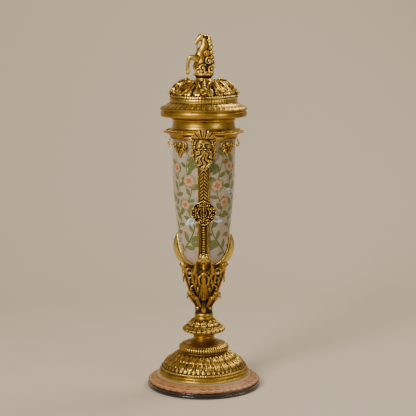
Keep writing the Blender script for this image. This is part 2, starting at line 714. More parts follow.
def make_lid():
    """From the middle of the hollow, down the inside, round the skirt and up the outside."""
    height = lid_top - lid_low
    rim = reach("lid")
    steps = [
        (0, height - 6.3, 0), (35.2, height - 15, 0.5), (53.9, height - 35.1, 0.5),
        (66.9, height - 55.7, 0), (44.3, height - 61.9, 0), (44.3, 0, 0), (46.5, 0, 0), (46.5, 6, 0),
        (55.5, 6, 0), (57.2, 7.2, -0.2), (72.8, 9.0, 0.5), (rim - 1.4, 10.2, 0.3), (rim - 1.4, 17.2, 0.35),
        (rim - 2.2, 18.2, 0.2), (rim - 2.8, 18.9, 0), (rim - 2.8, 19.8, 0), (rim - 0.8, 20.8, 0.2),
        (rim - 0.1, 21.6, 0.1), (rim - 0.1, 22.6, 0.1), (rim - 1.6, 23.6, 0.2), (rim - 5.6, 26.0, 0.5),
        (60.4, 32.2, -0.8), (58.6, 33.2, 0), (58.2, 33.8, 0), (58.2, 39.8, 0.1), (57.0, 41.0, 0.2),
        (55.2, 42.0, 0), (53.8, 45.6, 0.2), (51.8, 46.8, 0), (49.6, 49.8, 0.3), (38.4, 60.4, 1.3),
        (24.0, 67.6, 0.9), (18.4, 69.2, 0), (15.6, 70.6, -0.2), (15.4, height, 0), (0, height, 0),
    ]
    gilt_turned("lid_chased", "lid", steps, 360, 1.5, lid_relief, lid_low, 0.96, 0.8, 0.06)


make_lid()

# %% [markdown]
# ## The calyx of leaves
#
# The beaker stands in a cup of pointed leaves: a tall one at each side, a short one behind each strap
# and a low rim between them. Its outside is a blend. Three outlines, for the side leaf, the front leaf
# and the rim between, are each a curve of radius and height, and weights that depend on the angle mix
# them. The inside simply follows the beaker.

# %% Calyx
beaker_height = beaker_top - beaker_low
BEAKER_RADIUS = 55.2
BEAKER_OUTLINE = np.array(
    [
        (0, 0.26), (0.047, 0.556), (0.09, 0.69), (0.14, 0.765), (0.25, 0.83), (0.42, 0.912), (0.64, 0.98),
        (1, 1),
    ]
)
SIDE_LEAF = np.array([(0.22, 0), (0.46, 0.09), (0.6, 0.2), (0.83, 0.33), (0.96, 0.66), (0.87, 1)])
FRONT_LEAF = np.array([(0.2, 0), (0.36, 0.1), (0.5, 0.3), (0.61, 0.53), (0.69, 0.77), (0.75, 1)])
LOW_RIM = np.array([(0.18, 0), (0.27, 0.2), (0.34, 0.4), (0.41, 0.6), (0.47, 0.8), (0.53, 1)])
SIDE_TIP, FRONT_TIP, RIM_LEVEL = 61.0, 24.0, 7.5
calyx_floor = beaker_low - calyx_low


def curve_through(points, count):
    """A smooth curve through points at even steps: cubic pieces whose slope at each point is half the
    step between its neighbours."""
    points = np.asarray(points, float)
    slopes = np.gradient(points, axis=0)
    place = np.linspace(0, len(points) - 1, count)
    piece = np.minimum(place.astype(int), len(points) - 2)
    t = (place - piece)[:, None]
    start, end = points[piece], points[piece + 1]
    return (
        (2 * t**3 - 3 * t**2 + 1) * start
        + (t**3 - 2 * t**2 + t) * slopes[piece]
        + (-2 * t**3 + 3 * t**2) * end
        + (t**3 - t**2) * slopes[piece + 1]
    )


def beaker_radius(height):
    """Outer radius of the beaker at a height above its foot."""
    fine = curve_through(BEAKER_OUTLINE, 160)
    return BEAKER_RADIUS * np.interp(height / beaker_height, fine[:, 0], fine[:, 1])


def make_calyx():
    """Blend of three leaf outlines outside, with raised veins that run together at each leaf's tip."""
    rows, columns = 60, 260
    azimuth = angles(columns)[None, :]
    from_side = np.abs(np.arcsin(np.cos(azimuth))) / (np.pi / 4)
    from_front = np.abs(np.arcsin(np.sin(azimuth))) / (np.pi / 4)
    side = np.clip(1 - from_side, 0, 1) ** 1.5
    front = np.clip(1 - from_front, 0, 1) ** 1.2
    outlines = [curve_through(outline, rows) for outline in (LOW_RIM, FRONT_LEAF, SIDE_LEAF)]
    radii = [outline[:, :1] for outline in outlines]
    shares = [outline[:, 1:] for outline in outlines]
    rim = RIM_LEVEL + front * (FRONT_TIP - RIM_LEVEL) + side * (SIDE_TIP - RIM_LEVEL)
    share = shares[0] + front * (shares[1] - shares[0]) + side * (shares[2] - shares[0])
    radius = BEAKER_RADIUS * (radii[0] + front * (radii[1] - radii[0]) + side * (radii[2] - radii[0]))
    height = share * (rim + calyx_floor) - calyx_floor
    least = beaker_radius(np.clip(height, 0, None) + 2) + 2.0
    radius = np.where(height > 0, np.maximum(radius, least), radius)
    fan = np.minimum(from_side, from_front) / (1.15 - 0.75 * share)
    veins = np.cos(np.pi * 13 * fan) * (0.4 + 0.6 * side) + 0.5 * np.cos(24 * share + 9 * fan)
    edge = rise(1 - share, 0, 0.06)
    radius = radius + 0.5 * veins * rise(share, 0.1, 0.3) * edge - 0.9 * (1 - edge)
    outside = round_axis(radius, azimuth, beaker_low + height)
    fall = np.linspace(1, 0, 26)[:, None] ** 1.2
    inner_height = fall * (rim - 0.4)
    inner = round_axis(beaker_radius(inner_height) + 0.35, azimuth, beaker_low + inner_height - 0.3)
    gilt_piece("calyx_leaves", skin(np.concatenate([outside, inner])), ["calyx"])


make_calyx()

# %% [markdown]
# ## The painted porcelain beaker
#
# The beaker is hard porcelain with a warm grey ground. Flowers, leaves and birds are painted over
# the glaze and fired again, so the paint has crisp brush edges but the same gloss. The
# painting here is a set of distances: at every point of the mesh, how far it lies inside the nearest
# petal, leaf, twig or bird, in millimetres. The shader cuts each colour at the edge where its
# distance passes nought, which stays sharp even between the mesh's points.

# %% The painter's shapes
def inside_lens(across, along, half_length, half_width):
    """Distance inside a pointed leaf: its half width times 1 - (along / half length)^2, less |across|."""
    return half_width * (1 - (along / half_length) ** 2) - np.abs(across)


def turned_frame(x, z, centre, degrees):
    """Coordinates along and across a line through a centre, turned from the horizontal."""
    turn = math.radians(degrees)
    dx, dz = x - centre[0], z - centre[1]
    return dx * math.cos(turn) + dz * math.sin(turn), -dx * math.sin(turn) + dz * math.cos(turn)


def lay(paint, name, distance):
    """Keeps the greater distance at every point."""
    paint[name] = np.maximum(paint[name], distance)


def paint_peony(paint, x, z, centre, size, lean):
    """Petals: radius = size (0.84 + 0.16 |cos 3.5 angle|). Folds: crests of a wave of the radius that
    swings with the angle, so they read as cupped petals inside each other."""
    dx, dz = x - centre[0], z - centre[1]
    distance, angle = np.hypot(dx, dz * 1.1), np.arctan2(dz, dx) + lean
    inside = size * (0.84 + 0.16 * np.abs(np.cos(3.5 * angle))) - distance
    swing = 0.16 * np.cos(3.5 * angle + 1.3) + 0.1 * np.cos(5 * angle)
    fold = np.sin(2 * np.pi * (3.2 * distance / size + swing))
    lay(paint, "petal", inside)
    lay(paint, "heart", np.minimum(size * (0.46 + 0.1 * np.cos(4 * angle + 1)) - distance, inside))
    lay(paint, "fold", np.minimum(0.12 * size * (fold - 0.62), inside))


def paint_leaf(paint, x, z, centre, length, width, degrees):
    """One leaf, and its vein along the leaf's own bent middle line."""
    along, across = turned_frame(x, z, centre, degrees)
    bent = across - 0.12 * along**2 / length
    inside = inside_lens(bent, along, length / 2, width / 2)
    lay(paint, "leaf", inside)
    lay(paint, "vein", np.minimum(0.26 - np.abs(bent), inside - 0.2))


def paint_twig(paint, x, z, knots, thick):
    """A brush line along a curve: half its width, which tapers, less the distance to the curve."""
    line = curve_through(knots, 90)
    dense = curve_through(knots, 360).astype(np.float32)
    taper = thick / 2 * np.linspace(1, 0.45, len(dense), dtype=np.float32)
    away = np.hypot(x[..., None] - dense[:, 0], z[..., None] - dense[:, 1])
    lay(paint, "twig", (taper - away).max(axis=-1))
    return line


def paint_bird(paint, x, z, centre, size, degrees):
    """A small bird: body, tail and beak are lenses, the head is a disc, a wing lens lies on the body."""
    along, across = turned_frame(x, z, centre, degrees)
    body = inside_lens(across, along, 1.1 * size, 0.42 * size)
    tail = inside_lens(across + 0.18 * (along + size), along + 1.5 * size, 0.85 * size, 0.17 * size)
    head = 0.3 * size - np.hypot(along - 0.95 * size, across - 0.22 * size)
    beak = inside_lens(across - 0.2 * size, along - 1.35 * size, 0.3 * size, 0.08 * size)
    raised = inside_lens(across - 0.55 * size - 0.5 * along, along + 0.3 * size, 0.75 * size, 0.26 * size)
    shape = np.maximum.reduce([body, tail, head, beak, raised])
    lay(paint, "bird", shape)
    wing = inside_lens(across - 0.1 * size, along + 0.35 * size, 0.8 * size, 0.2 * size)
    lay(paint, "wing", np.minimum(wing, shape))


def paint_sprig(paint, name, x, z, centre, size):
    """A little five-petalled blossom."""
    dx, dz = x - centre[0], z - centre[1]
    angle = np.arctan2(dz, dx)
    lay(paint, name, size * (0.62 + 0.38 * np.abs(np.cos(2.5 * angle))) - np.hypot(dx, dz))


# %% [markdown]
# A panel lies between the two straps, and the same design is painted in both, half a turn apart, so
# the painting to the left of a strap is not the one to its right. Places are millimetres from the
# panel's middle and above the beaker's foot. Leaves are set along each branch by a loop, left and
# right in turn.

# %% The design of one panel
FAR_OUTSIDE = -9.0
FIELDS = ("twig", "leaf", "vein", "sprig_blue", "sprig_rust", "petal", "heart", "fold", "bird", "wing")
BRANCHES = [
    ([(18, 26), (42, 50), (58, 78), (50, 112), (62, 142), (54, 180), (64, 214)], 2.6),
    ([(-16, 24), (-40, 46), (-60, 76), (-46, 108), (-60, 140), (-56, 176), (-46, 210)], 2.6),
    ([(6, 28), (14, 62), (32, 90), (24, 122), (36, 152), (28, 196)], 2.4),
    ([(-4, 30), (-18, 66), (-28, 98), (-20, 130), (-34, 160), (-24, 200)], 2.4),
    ([(24, 122), (6, 132), (-4, 150), (4, 186)], 1.8), ([(42, 50), (62, 52), (70, 64)], 1.6),
    ([(-40, 46), (-60, 48), (-70, 60)], 1.6), ([(54, 180), (68, 186), (72, 200)], 1.4),
    ([(-56, 176), (-70, 180), (-74, 196)], 1.4),
]
PEONIES = [
    ((58, 158), 10.5, 0.3), ((-60, 150), 10.5, 1.1), ((30, 178), 9.5, 2.0), ((-34, 182), 9.5, 0.7),
    ((2, 156), 9.5, 1.8), ((46, 116), 9.0, 0.1), ((-42, 120), 9.0, 1.5), ((-4, 208), 8.0, 0.9),
    ((66, 206), 7.6, 0.4), ((-68, 202), 7.6, 2.4),
]
BIRDS = [((52, 88), 10.0, 205), ((-54, 90), 10.0, -24), ((4, 92), 9.0, 30), ((-30, 140), 8.0, 160)]
BLUE_SPRIGS = [
    (-24, 40), (20, 52), (-48, 34), (50, 34), (0, 112), (-66, 122), (68, 126), (52, 196), (-14, 186),
]
RUST_SPRIGS = [
    (-14, 54), (30, 36), (-34, 62), (36, 66), (-64, 66), (66, 70), (14, 120), (-48, 192), (44, 206),
]


def paint_panel(x, z):
    """All the distances of one panel at points x, z."""
    paint = {name: np.full(x.shape, FAR_OUTSIDE) for name in FIELDS}
    for knots, thick in BRANCHES:
        line = paint_twig(paint, x, z, knots, thick)
        for step, side in zip(range(4, 88, 5), (1, -1) * 9):
            heading = math.degrees(math.atan2(*(line[step + 1] - line[step - 1])[::-1]))
            lean = heading + side * 48
            length = 6.4 * thick + 3 * math.sin(step)
            offset = length / 2 + thick / 2
            toward = np.array([math.cos(math.radians(lean)), math.sin(math.radians(lean))])
            paint_leaf(paint, x, z, line[step] + offset * toward, length, 0.44 * length, lean)
    for centre, size, lean in PEONIES:
        paint_peony(paint, x, z, centre, size, lean)
    for centre, size, degrees in BIRDS:
        paint_bird(paint, x, z, centre, size, degrees)
    for name, centres in (("sprig_blue", BLUE_SPRIGS), ("sprig_rust", RUST_SPRIGS)):
        for centre in centres:
            paint_sprig(paint, name, x, z, centre, 3.0)
    return paint


# %% [markdown]
# The glaze is a smooth, clear dielectric coat over all of this, and after more than a century it is
# finely crazed. A cell pattern gives the craze lines, about 5 mm apart.

# %% Painted porcelain
CRAZE = 5.0
NEVER = 90.0
BRUSH_WANDER = 0.5
EDGE_SOFT = 0.12
PAINT_LAYERS = [
    ("twig", -6.0, NEVER, "85836A", "AEA28E"), ("petal", -4.2, NEVER, "6A6C45", "9C9676"),
    ("twig", 0.0, NEVER, "48431E", "655A30"), ("leaf", 0.0, NEVER, "4C5422", "737A3C"),
    ("vein", 0.0, NEVER, "39421C", "4E5A26"), ("leaf", -0.2, 0.15, "343B1A", "4A5226"),
    ("sprig_blue", 0.0, NEVER, "5F7891", "9FB2C0"), ("sprig_blue", -0.2, 0.15, "3F5064", "566A80"),
    ("sprig_rust", 0.0, NEVER, "96432A", "C4714A"), ("sprig_rust", -0.2, 0.15, "6C2C1C", "8C402A"),
    ("petal", 0.0, NEVER, "AC8468", "C4A88C"), ("heart", 0.0, NEVER, "90562C", "B07A44"),
    ("fold", 0.0, NEVER, "804A30", "985C3C"), ("petal", -0.3, 0.3, "7E4A38", "9A6450"),
    ("bird", 0.0, NEVER, "A9BCC8", "DCE6E6"), ("wing", 0.0, NEVER, "6F8CA2", "93AABA"),
    ("wing", -0.3, 0.1, "3E5060", "52677A"), ("bird", -0.25, 0.2, "3F4C58", "566674"),
]


def make_painted_porcelain():
    """Ground, a pale wash, twigs, leaves, sprigs, petals and birds laid over each other, then a glaze.
    PAINT_LAYERS names each layer's distance, the edges where it starts and fades, and its two colours."""
    material, add = new_material("painted_glazed_porcelain")
    place = add("TexCoord", "Object")
    cloud = add("TexNoise", "Fac", {"Vector": place, "Scale": 45.0, "Detail": 6.0})
    brush = add("TexNoise", "Fac", {"Vector": place, "Scale": 260.0, "Detail": 3.0})
    cells = {"Vector": place, "Scale": 1000 / CRAZE}
    cracks = add("TexVoronoi", "Distance", cells, feature="DISTANCE_TO_EDGE")
    crazed = add("MapRange", "Result", [cracks, 0.0, 0.05, 0.3, 0.0])
    ground = add("Mix", 2, {0: cloud, 6: "978473", 7: "BBA996"}, data_type="RGBA")
    layer = add("Mix", 2, {0: crazed, 6: ground, 7: "7A6654"}, data_type="RGBA")
    middle = BRUSH_WANDER / 2
    for name, start, fade, dark, light in PAINT_LAYERS:
        distance = add("Attribute", "Fac", attribute_name=name)
        wander = add("Math", "Value", [brush, BRUSH_WANDER, distance], operation="MULTIPLY_ADD")
        begun = add("MapRange", "Result", [wander, middle + start - EDGE_SOFT, middle + start + EDGE_SOFT])
        ended = add("MapRange", "Result", [wander, middle + fade - EDGE_SOFT, middle + fade + EDGE_SOFT])
        share = add("Math", "Value", [begun, ended], operation="SUBTRACT")
        colour = add("Mix", 2, {0: brush, 6: dark, 7: light}, data_type="RGBA")
        layer = add("Mix", 2, {0: share, 6: layer, 7: colour}, data_type="RGBA")
    roughness = add("MapRange", "Result", [cloud, 0.3, 0.7, 0.16, 0.28])
    shader = add("BsdfPrincipled", "BSDF", {"Base Color": layer, "Roughness": roughness})
    add("OutputMaterial", None, [shader])
    return material

# %% [markdown]
# The beaker's skin is a turned form. Its outer wall needs a fine grid for the paint, and its inner
# wall hardly any points.

# %% Beaker
BEAKER_WALL = 4.0
NECK_RADIUS = 50.4
NECK_HEIGHT = 23.0
BEAKER_COLUMNS = 384
PAINTED_ROWS = 138


def make_beaker():
    """Outer wall from the measured outline, a shoulder and neck under the collar, and the inner wall."""
    columns = BEAKER_COLUMNS
    shoulder = beaker_height - NECK_HEIGHT - (BEAKER_RADIUS - NECK_RADIUS)
    height = np.linspace(0, shoulder, PAINTED_ROWS)
    outer = np.stack([beaker_radius(height), height], axis=1)
    neck = [
        (NECK_RADIUS, beaker_height - NECK_HEIGHT), (NECK_RADIUS, beaker_height - 1),
        (NECK_RADIUS - 1, beaker_height), (NECK_RADIUS - 3, beaker_height),
        (NECK_RADIUS - BEAKER_WALL, beaker_height - 1),
        (NECK_RADIUS - BEAKER_WALL, beaker_height - NECK_HEIGHT),
    ]
    depth = np.linspace(shoulder - 4, 9, 12)
    inner = np.stack([beaker_radius(depth) - BEAKER_WALL, depth], axis=1)
    profile = np.vstack([outer, neck, inner, [(14, 7)]])
    azimuth = angles(columns)[None, :]
    rings = round_axis(profile[:, :1], azimuth, beaker_low + profile[:, 1:])
    mesh = write_mesh("beaker_painted", *skin(rings))
    panel = (azimuth % np.pi) - np.pi / 2
    x, z = np.broadcast_arrays(panel * profile[:, :1], profile[:, 1:])
    x, z = x.astype(np.float32), z.astype(np.float32)
    painted = len(height)
    for name, values in paint_panel(x[:painted], z[:painted]).items():
        bare = np.full(rings.shape[0] * columns + 2, FAR_OUTSIDE)
        bare[: painted * columns] = values.ravel()
        add_field(mesh, name, bare)
    finish_piece("beaker_painted", mesh, make_painted_porcelain(), ["beaker"])


make_beaker()

# %% [markdown]
# ## Straps and medallions
#
# A long strap runs down the front and back of the beaker. It was cast flat as a low relief and bent
# to the porcelain. A plate's face is a height over two directions, across and up, so rails,
# interlaced curves, bead chains and the openwork medallion are all sums of ridges. The deepest
# ground gets the darkest patina, as the gaps of the openwork do.

# %% Helpers for plates bent round the cup
def bent_plate(levels_up, half_widths, columns, face, back):
    """A closed plate. Its face stands face(x, z) off the beaker and its back lies at radius back(z),
    with x measured round the cup."""
    share = np.linspace(-1, 1, columns)[None, :]
    z = levels_up[:, None] + 0 * share
    x = half_widths[:, None] * share
    seat = back(z)
    base = beaker_radius(z - beaker_low)
    rounding = np.clip(1 - share**12, 0, 1) ** 0.5
    outside = np.maximum(base + face(x, z) * (0.35 + 0.65 * rounding), seat + 0.8)
    front = round_axis(outside, x / base, z)
    rear = round_axis(seat, x / base, z)
    return skin(np.concatenate([front, rear[:, ::-4]], axis=1))


# %% Strap relief
STRAP_HALF = 10.2
MEDALLION_LEVEL = 315.5
MEDALLION_RADIUS = 22.8
STRAP_TOP = 394.0
DISC_PITCH = 4.2
SCALE_PITCH = 5.8


def strap_rail(z):
    """Half the strap's width: a little narrower towards the foot."""
    return STRAP_HALF * (0.9 + 0.1 * (z - strap_low) / (STRAP_TOP - strap_low))


def medallion_rim(turn):
    """The medallion's outline: four broad lobes with a small one between each pair."""
    return MEDALLION_RADIUS * (0.86 + 0.1 * np.abs(np.cos(2 * turn)) + 0.04 * np.cos(8 * turn))


def strap_half_width(z):
    """The rails, a flare at the very foot, and the medallion's outline where that is wider."""
    flare = 1.6 * swell(z, strap_low, 6)
    turn = np.linspace(-np.pi / 2, np.pi / 2, 400)
    outline = medallion_rim(turn)
    across, up = outline * np.cos(turn), outline * np.sin(turn) + MEDALLION_LEVEL
    return np.maximum(strap_rail(z) + flare, np.interp(z, up, across, left=0, right=0))


def repeated(z, pitch):
    """Height above the nearest of a row of levels one pitch apart."""
    return ((z + pitch / 2) % pitch) - pitch / 2


def strap_face(x, z):
    """Rails at the edges, a string of flat discs below the medallion, overlapping scales above it."""
    half = strap_rail(z)
    twist = 0.75 + 0.25 * np.cos(2 * np.pi * (z + 1.5 * np.abs(x)) / 3.5)
    rails = 4.4 * twist * ridge(np.abs(x) - (half - 1.4), 1.4)
    fillets = 2.4 * ridge(np.abs(x) - (half - 3.6), 0.7)
    discs = 4.4 * ridge(np.hypot(x / 1.9, repeated(z, DISC_PITCH)), 1.7) * (z < MEDALLION_LEVEL)
    row = repeated(z + 1.1 * np.abs(x), SCALE_PITCH) / SCALE_PITCH + 0.5
    scales = (4.8 * row**0.6 - 0.4) * (np.abs(x) < half - 4.6) * (z > MEDALLION_LEVEL)
    notches = -1.4 * swell(x, 0, 0.5) * (z > MEDALLION_LEVEL)
    shell = 3.4 * (0.8 + 0.2 * np.cos(1.3 * x)) * window(z, strap_low - 2, strap_low + 10, 1.2)
    return 0.8 + np.maximum.reduce([rails, fillets, discs, scales + notches, shell])


def medallion_face(x, z):
    """Eight volutes round the rim, each a spiral bar with a pearl in its eye, a bead ring, an oval and a
    column of discs down the middle."""
    up = z - MEDALLION_LEVEL
    radius, turn = np.hypot(x, up), np.arctan2(up, x)
    edge = medallion_rim(turn)
    rim = 4.6 * ridge(radius - (edge - 1.2), 1.0)
    sector = np.abs(((turn / (np.pi / 4)) % 1) - 0.5) * (np.pi / 4)
    eye_out, eye_aside = radius * np.cos(sector) - 15.6, radius * np.sin(sector) - 3.2
    away, swirl = np.hypot(eye_out, eye_aside), np.arctan2(eye_aside, eye_out)
    volute = 5.4 * ridge(away - 4.1 - 0.35 * swirl, 1.15)
    pearl = 6.4 * ridge(away, 1.9)
    ring_place = ((turn * 28 / (2 * np.pi)) % 1) - 0.5
    bead_ring = 5.0 * ridge(np.hypot(radius - 9.6, ring_place * 2.15), 1.15)
    oval = 4.2 * ridge(np.hypot(x * 1.5, up) - 6.8, 1.0)
    discs = 6.2 * ridge(np.hypot(x / 1.7, repeated(up, 2.9)), 1.35) * (np.abs(up) < 17)
    return 1.0 + np.maximum.reduce([rim, volute, pearl, bead_ring, oval, discs])


def strap_seat(z):
    """The plate's back lies half a millimetre off the porcelain."""
    return beaker_radius(z - beaker_low) + 0.5


def whole_strap_face(x, z):
    """The medallion's relief inside its outline, the strap's outside it."""
    turn = np.arctan2(z - MEDALLION_LEVEL, x)
    inside = np.hypot(x, z - MEDALLION_LEVEL) < medallion_rim(turn) + 0.3
    return np.where(inside, medallion_face(x, z), strap_face(x, z))


def make_strap():
    """The strap plate from its flared foot to the mask's beard, and the shell boss at its foot."""
    rows = np.arange(strap_low + 1.5, STRAP_TOP, 0.62)
    plate = bent_plate(rows, strap_half_width(rows), 81, whole_strap_face, strap_seat)
    out = beaker_radius(strap_low + 4 - beaker_low)
    boss = balls([(0, -(out + 4.4), strap_low + 3.2)], [(4.6, 3.2, 4.4)], 20, 14)
    beside = [(side * 5.4, -(out + 2.6), strap_low + 4.0) for side in (-1, 1)]
    return together([plate, *boss, *balls(beside, [(2.6, 2.2, 2.8)], 14, 10)])


# %% [markdown]
# ## The masks
#
# At the top of each strap hangs a bearded mask under a fan of leaves. It is the same kind of relief,
# only deeper: the head is half an egg, and brow, lids, nose, lips and cheeks are soft swellings set by
# the usual proportions of a face. Locks of the beard are waves that run down it.

# %% Mask relief
BEARD_TIP = 389.9
MASK_HEIGHT = mask_top - BEARD_TIP
MASK_HALF = 21.0
COLLAR_EDGE = collar_low - 0.3
FLANGE_EDGE = collar_low + 6.6
MASK_OUTLINE = np.array(
    [
        (0, 0.14), (0.06, 0.36), (0.2, 0.7), (0.38, 0.94), (0.49, 1), (0.6, 1), (0.72, 0.94), (0.86, 0.74),
        (1, 0.3),
    ]
)
MASK_SWING = np.array(
    [(0, 59.0), (0.2, 59.6), (0.45, 60.6), (0.7, 63.0), (0.84, 68.6), (0.92, 72.4), (1, 72.8)]
)
FACE_MIDDLE = 0.55


def curls(m, up):
    """Ringlets in rings round the face: a ball in each cell of radius and angle, with a dimple in it."""
    radius, turn = np.hypot(m, (up - FACE_MIDDLE) * 2.6), np.arctan2((up - FACE_MIDDLE) * 2.6, m)
    ring = np.floor((radius - 0.6) / 0.19)
    place = (radius - 0.6) / 0.19 - ring - 0.5
    count = 15 + 4 * ring
    along = ((turn * count / (2 * np.pi) + 0.5 * ring) % 1) - 0.5
    away = np.hypot(place, along)
    return (2.6 * ridge(away, 0.56) - 1.3 * swell(away, 0, 0.13)) * (radius > 0.6)


def face_relief(m, side, up):
    """Half an egg, and on it brow, lowered lids, nose, cheeks, moustache and a resting mouth, in mm."""
    egg_share = np.clip(1 - (m / 0.62) ** 2 - ((up - FACE_MIDDLE) / 0.23) ** 2, 0, 1)
    head = 6.4 * np.sqrt(egg_share)
    brow = 1.2 * swell(up, 0.672 + 0.012 * np.cos(9 * side - 2), 0.02) * swell(side, 0.22, 0.17)
    sockets = -1.9 * swell(side, 0.23, 0.12) * swell(up, 0.63, 0.024)
    lids = 1.7 * ridge(np.hypot((side - 0.23) / 0.13, (up - 0.626) / 0.02), 1.0)
    slits = -0.7 * swell(up, 0.621, 0.004) * swell(side, 0.23, 0.08)
    nose = 3.2 * swell(m, 0, 0.07) * window(up, 0.555, 0.665, 0.014) * (0.6 + 0.4 * rise(0.66 - up, 0, 0.1))
    wings = 1.3 * swell(side, 0.09, 0.05) * swell(up, 0.566, 0.013)
    cheeks = 1.3 * swell(side, 0.33, 0.12) * swell(up, 0.58, 0.04)
    hairs = 1 + 0.3 * np.cos(34 * side + 60 * up)
    moustache = 2.6 * hairs * swell(up, 0.532 - 0.07 * side, 0.017) * window(side, 0.03, 0.4, 0.05)
    lips = (1.5 * swell(up, 0.5, 0.01) + 1.0 * swell(up, 0.513, 0.006)) * swell(m, 0, 0.1)
    features = brow + sockets + lids + slits + nose + wings + cheeks + moustache + lips
    return (head + features) * (egg_share > 0)


def mask_relief(x, z):
    """Face, ringlets round it, wavy tufts of beard below and a fan of seven leaves above, in mm."""
    m = x / MASK_HALF
    side = np.abs(m)
    up = 1 - (mask_top - z) / MASK_HEIGHT
    face = face_relief(m, side, up)
    turn = np.arctan2(m, (up - 0.64) * 2.4)
    blade = ((turn * 7 / np.pi + 0.5) % 1) * 2 - 1
    fan = (4.2 * ridge(blade) - 1.2 * swell(blade, 0, 0.16)) * rise(up, 0.74, 0.79)
    band = 3.6 * swell(up, 0.735, 0.014) * swell(side, 0, 0.5)
    fall = np.arctan2(m, 0.56 - up)
    wavy = fall * 4.4 / np.pi + 0.3 * np.sin(27 * (0.56 - up) + 3 * side) + 0.5
    tuft = 2.4 * ridge((wavy % 1) - 0.5, 0.5) - 1.0 * swell((wavy * 3 % 1) - 0.5, 0, 0.16)
    beard = (6.6 - 3.2 * side) * rise(0.505 - up, 0, 0.03) * window(side, -1, 0.62, 0.12)
    beard = (beard + tuft * (up < 0.505)) * (up < 0.52)
    return np.maximum.reduce([face, curls(m, up) * (up < 0.76) * (up > 0.34), fan + band, beard])


def mask_face(x, z):
    """The mask's swing off the beaker at each level, plus its relief, as a lift off the beaker."""
    up = 1 - (mask_top - z) / MASK_HEIGHT
    swing = curve_through(MASK_SWING, 90)
    out = np.interp(up, swing[:, 0], swing[:, 1])
    round_off = 2.6 * (x / MASK_HALF) ** 2
    return out - round_off + mask_relief(x, z) - beaker_radius(z - beaker_low)


def mask_seat(z):
    """The mask's back steps out over the collar's skirt and again over its flange."""
    seat = beaker_radius(np.minimum(z, COLLAR_EDGE) - beaker_low) + 0.5
    seat = np.where(z > COLLAR_EDGE, FASCIA_RADIUS, seat)
    return np.where(z > FLANGE_EDGE, FLANGE_RADIUS, seat)


def make_mask():
    """The mask plate from the tip of the beard to the top of the fan of leaves."""
    rows = np.linspace(mask_top - MASK_HEIGHT, mask_top, 136)
    share = 1 - (mask_top - rows) / MASK_HEIGHT
    outline = curve_through(MASK_OUTLINE, 120)
    half = MASK_HALF * np.interp(share, outline[:, 0], outline[:, 1])
    scallops = 1 + 0.05 * np.cos(share * 2 * np.pi * 10)
    return bent_plate(rows, half * scallops, 97, mask_face, mask_seat)


mounts = {"front": together([make_strap(), make_mask()])}
mounts["back"] = round_the_cup(mounts["front"], 180)
for side, shape in mounts.items():
    gilt_piece(f"mask_and_strap_{side}", shape, [f"mask_strap_{side}"], age=0.2)

# %% [markdown]
# ## Sculpture from limbs
#
# Grapes, figures, beasts and the horse can't be turned or drawn as a relief. A sculptor would build
# them up from rolls and lumps of wax. A limb here is an oval ring carried along a smooth path, and a
# lump is an egg. A voxel remesh then melts them into one skin, and a few rounds of smoothing take the
# steps off it.

# %% Helpers for sculpture
def limb(path, halves, side=(0, 1, 0), steps=36, sides=14):
    """Oval rings along a path: centre + half across cos a across + half deep sin a deep, where
    across is the given side made square to the path. The ends are rounded like a ball's."""
    fine = curve_through(np.hstack([np.asarray(path, float), np.asarray(halves, float)]), steps)
    centre, half = fine[:, :3], fine[:, 3:].clip(0.05)
    along = np.gradient(centre, axis=0)
    along /= np.linalg.norm(along, axis=1, keepdims=True)
    across = np.asarray(side, float) - (along @ np.asarray(side, float))[:, None] * along
    across /= np.linalg.norm(across, axis=1, keepdims=True)
    deep = np.cross(along, across)
    walked = np.concatenate([[0], np.cumsum(np.linalg.norm(np.diff(centre, axis=0), axis=1))])
    to_end = np.minimum(walked, walked[-1] - walked) / half.max(axis=1)
    cap = np.sqrt(np.clip(1 - (1 - np.clip(to_end, 0, 1)) ** 2, 0, 1)).clip(0.12)
    turn = angles(sides)
    ring = (half[:, :1] * cap[:, None] * np.cos(turn))[..., None] * across[:, None, :]
    ring = ring + (half[:, 1:] * cap[:, None] * np.sin(turn))[..., None] * deep[:, None, :]
    return skin(centre[:, None, :] + ring)


def egg(centre, radii, columns=16, rows=10):
    """A lump: a ball with three radii."""
    return balls([centre], [radii], columns, rows)[0]


def volute(centre, radius, turns, start, shrink, first, widths, side, steps, bud):
    """A limb that rolls up round a bud: centre + r (cos a first + sin a up), where r shrinks steadily."""
    t = np.linspace(0, 1, 26)[:, None]
    angle = start + turns * 2 * np.pi * t
    r = radius * (1 - shrink * t)
    path = np.asarray(centre) + r * (
        np.cos(angle) * np.asarray(first) + np.sin(angle) * np.asarray((0, 0, 1))
    )
    return [limb(path, np.linspace(*widths, len(path)), side, steps, 10), egg(centre, bud, 10, 6)]


def modeller(place, scale=1.0, side=(1, 0, 0)):
    """A limb and a lump function for one sculpture: place turns a station to millimetres, and widths and
    radii are multiplied by the scale."""

    def roll(stations, halves, side=side, **detail):
        return limb(
            [place(*station) for station in stations], np.asarray(halves, float) * scale, side, **detail,
        )

    def lump(centre, radii, *detail):
        return egg(place(*centre), np.asarray(radii, float) * scale, *detail)

    return roll, lump


